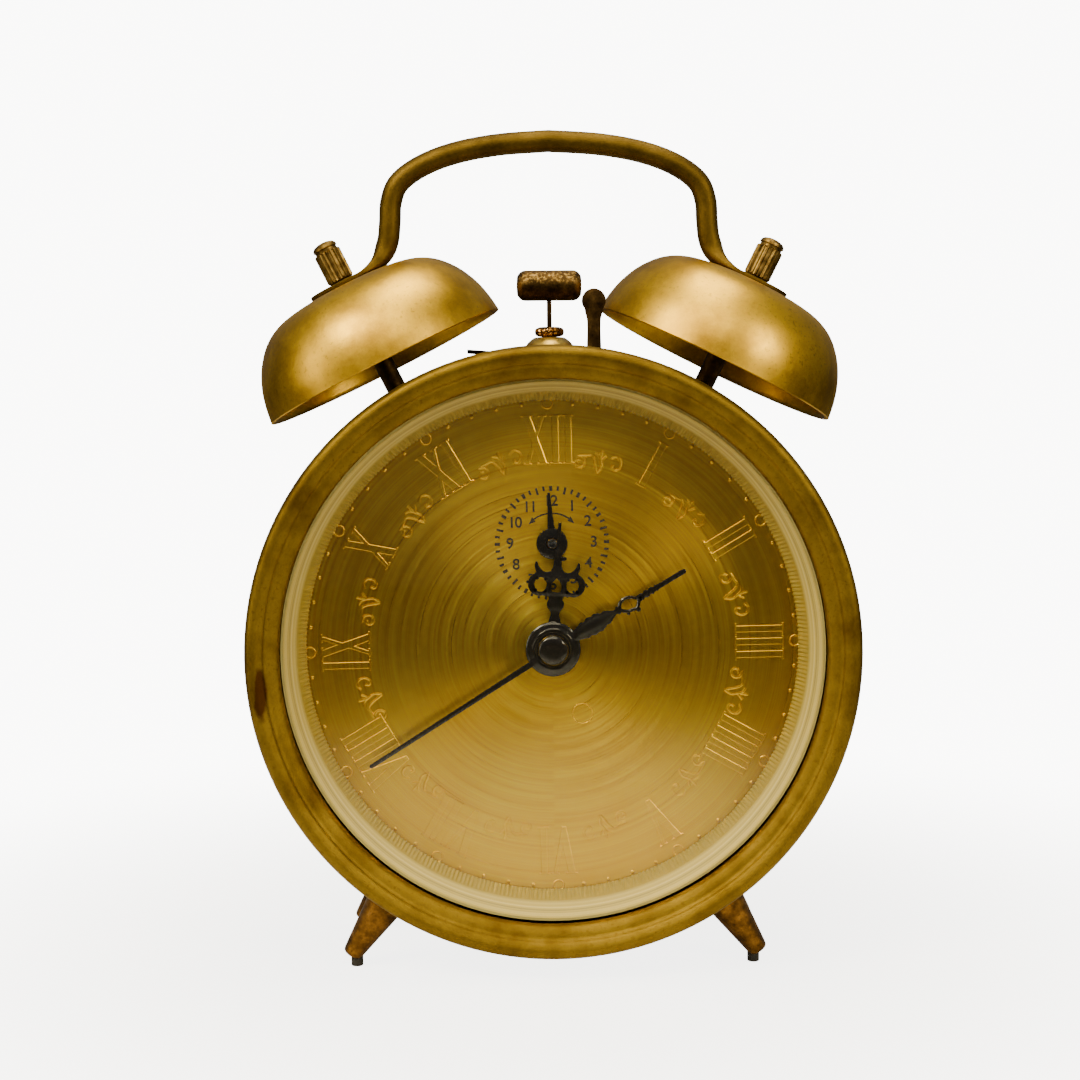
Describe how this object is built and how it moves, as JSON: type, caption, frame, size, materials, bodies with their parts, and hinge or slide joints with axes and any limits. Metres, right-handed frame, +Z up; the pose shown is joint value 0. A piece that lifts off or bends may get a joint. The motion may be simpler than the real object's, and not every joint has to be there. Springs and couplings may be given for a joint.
{
  "type": "alarm clock",
  "caption": "Mechanical twin-bell alarm clock on splayed feet, with a carrying handle, a hammer between the bells, hands behind a domed glass and winding keys at the back.",
  "frame": {"origin": "centre of the clock's footprint on the surface that it stands on", "axes": "+Z up, -Y the way the dial faces, +X to the right of someone who reads the dial"},
  "size_m": [0.1184, 0.0626, 0.1662],
  "materials": {
    "aged_brass": "aged satin",
    "bell_brass": "worn satin",
    "dial_brass": "circular brushed",
    "dark_bronze": "dark patina",
    "movement_brass": "plain",
    "steel": "ground",
    "black_enamel": "gloss",
    "cream_ring": "satin",
    "crystal_glass": "clear"
  },
  "bodies": {
    "root": {"case_drum": "aged_brass", "bezel": "aged_brass", "crystal": "crystal_glass", "reflector_ring": "cream_ring", "dial": "dial_brass", "back_cover": "aged_brass", "cover_screw_1": "dark_bronze", "cover_screw_2": "dark_bronze", "cover_screw_3": "dark_bronze", "foot_front_left": "dark_bronze", "foot_front_right": "dark_bronze", "foot_rear_left": "dark_bronze", "foot_rear_right": "dark_bronze", "bell_post_left": "dark_bronze", "bell_post_right": "dark_bronze", "bell_left": "bell_brass", "bell_right": "bell_brass", "bell_nut_left": "dark_bronze", "bell_nut_right": "dark_bronze", "handle": "aged_brass", "hammer_boss": "aged_brass", "hammer_bush": "aged_brass", "front_plate": "movement_brass", "rear_plate": "movement_brass", "plate_pillar_1": "steel", "plate_pillar_2": "steel", "plate_pillar_3": "steel", "plate_pillar_4": "steel"},
    "centre_arbor": {"centre_wheel": "movement_brass", "cannon_pinion": "steel", "minute_hand": "black_enamel"},
    "hour_arbor": {"hour_wheel": "movement_brass", "hour_hand": "black_enamel"},
    "minute_wheel_arbor": {"minute_wheel": "movement_brass", "time_set_knob": "aged_brass"},
    "alarm_wheel": {"alarm_wheel": "movement_brass"},
    "second_arbor": {"fourth_wheel": "movement_brass", "second_hand": "black_enamel", "hand_cap": "black_enamel"},
    "third_arbor": {"third_wheel": "movement_brass"},
    "escape_arbor": {"escape_wheel": "movement_brass"},
    "barrel": {"mainspring_barrel": "movement_brass"},
    "pallet_lever": {"pallet_lever": "steel"},
    "balance": {"balance_wheel": "movement_brass", "hairspring": "steel"},
    "regulator": {"regulator_lever": "steel"},
    "time_winder": {"time_winding_arbor": "steel", "time_key": "aged_brass"},
    "alarm_barrel": {"alarm_barrel": "movement_brass"},
    "strike_arbor": {"strike_wheel": "movement_brass"},
    "alarm_winder": {"alarm_winding_arbor": "steel", "alarm_key": "aged_brass"},
    "alarm_setter": {"alarm_arbor": "steel", "alarm_hand": "black_enamel", "alarm_set_knob": "aged_brass"},
    "hammer": {"hammer_verge": "steel", "hammer_wire": "dark_bronze", "hammer_head": "dark_bronze"},
    "stop_lever": {"stop_lever": "dark_bronze"}
  },
  "joints": [
    {"name": "minute_hand_turn", "type": "hinge", "parent": "root", "child": "centre_arbor", "pos_m": [0, -0.0007, 0.0635], "axis": [0, 1, 0], "continuous": true},
    {"name": "hour_hand_turn", "type": "hinge", "parent": "root", "child": "hour_arbor", "pos_m": [0, -0.0127, 0.0635], "axis": [0, 1, 0], "continuous": true},
    {"name": "time_set_turn", "type": "hinge", "parent": "root", "child": "minute_wheel_arbor", "pos_m": [0.00917, 0.0093, 0.07267], "axis": [0, 1, 0], "continuous": true},
    {"name": "alarm_wheel_turn", "type": "hinge", "parent": "root", "child": "alarm_wheel", "pos_m": [0, -0.0132, 0.0841], "axis": [0, 1, 0], "continuous": true},
    {"name": "second_hand_turn", "type": "hinge", "parent": "root", "child": "second_arbor", "pos_m": [0, -0.0107, 0.0635], "axis": [0, 1, 0], "continuous": true},
    {"name": "third_wheel_turn", "type": "hinge", "parent": "root", "child": "third_arbor", "pos_m": [0.00639, -0.0007, 0.05242], "axis": [0, 1, 0], "continuous": true},
    {"name": "escape_wheel_turn", "type": "hinge", "parent": "root", "child": "escape_arbor", "pos_m": [-0.00222, -0.0007, 0.0761], "axis": [0, 1, 0], "continuous": true},
    {"name": "barrel_turn", "type": "hinge", "parent": "root", "child": "barrel", "pos_m": [-0.02241, -0.0007, 0.06154], "axis": [0, 1, 0], "continuous": true},
    {"name": "pallet_rock", "type": "hinge", "parent": "root", "child": "pallet_lever", "pos_m": [-0.01022, 0.0053, 0.079], "axis": [0, 1, 0], "range_deg": [-5, 5]},
    {"name": "balance_swing", "type": "hinge", "parent": "root", "child": "balance", "pos_m": [-0.01842, -0.0007, 0.0838], "axis": [0, 1, 0], "range_deg": [-220, 220], "stiffness_Nm_per_rad": 0.00001},
    {"name": "regulator_turn", "type": "hinge", "parent": "root", "child": "regulator", "pos_m": [-0.01842, 0.009, 0.0838], "axis": [0, 1, 0], "range_deg": [-18, 18]},
    {"name": "time_key_turn", "type": "hinge", "parent": "root", "child": "time_winder", "pos_m": [-0.02241, 0.0143, 0.06154], "axis": [0, 1, 0], "continuous": true},
    {"name": "alarm_barrel_turn", "type": "hinge", "parent": "root", "child": "alarm_barrel", "pos_m": [0.0265, -0.0007, 0.0613], "axis": [0, 1, 0], "continuous": true},
    {"name": "strike_wheel_turn", "type": "hinge", "parent": "root", "child": "strike_arbor", "pos_m": [0.02356, -0.0007, 0.07794], "axis": [0, 1, 0], "continuous": true},
    {"name": "alarm_key_turn", "type": "hinge", "parent": "root", "child": "alarm_winder", "pos_m": [0.0265, 0.0143, 0.0613], "axis": [0, 1, 0], "continuous": true},
    {"name": "alarm_set_turn", "type": "hinge", "parent": "root", "child": "alarm_setter", "pos_m": [0, -0.0007, 0.0841], "axis": [0, 1, 0], "continuous": true},
    {"name": "hammer_swing", "type": "hinge", "parent": "root", "child": "hammer", "pos_m": [0, -0.0057, 0.1155], "axis": [0, 1, 0], "range_deg": [-9.3, 9.3], "stiffness_Nm_per_rad": 0.004},
    {"name": "stop_lever_turn", "type": "hinge", "parent": "root", "child": "stop_lever", "pos_m": [0, -0.0057, 0.1212], "axis": [0, 0, -1], "range_deg": [0, 35]}
  ],
  "couplings": [
    {"joint": "hour_hand_turn", "follows": "minute_hand_turn", "ratio": 0.083333},
    {"joint": "time_set_turn", "follows": "minute_hand_turn", "ratio": -0.33333},
    {"joint": "alarm_wheel_turn", "follows": "minute_hand_turn", "ratio": -0.083333},
    {"joint": "third_wheel_turn", "follows": "minute_hand_turn", "ratio": -8},
    {"joint": "second_hand_turn", "follows": "minute_hand_turn", "ratio": 60},
    {"joint": "escape_wheel_turn", "follows": "minute_hand_turn", "ratio": -480},
    {"joint": "barrel_turn", "follows": "minute_hand_turn", "ratio": -0.14286},
    {"joint": "strike_wheel_turn", "follows": "alarm_barrel_turn", "ratio": -5}
  ]
}
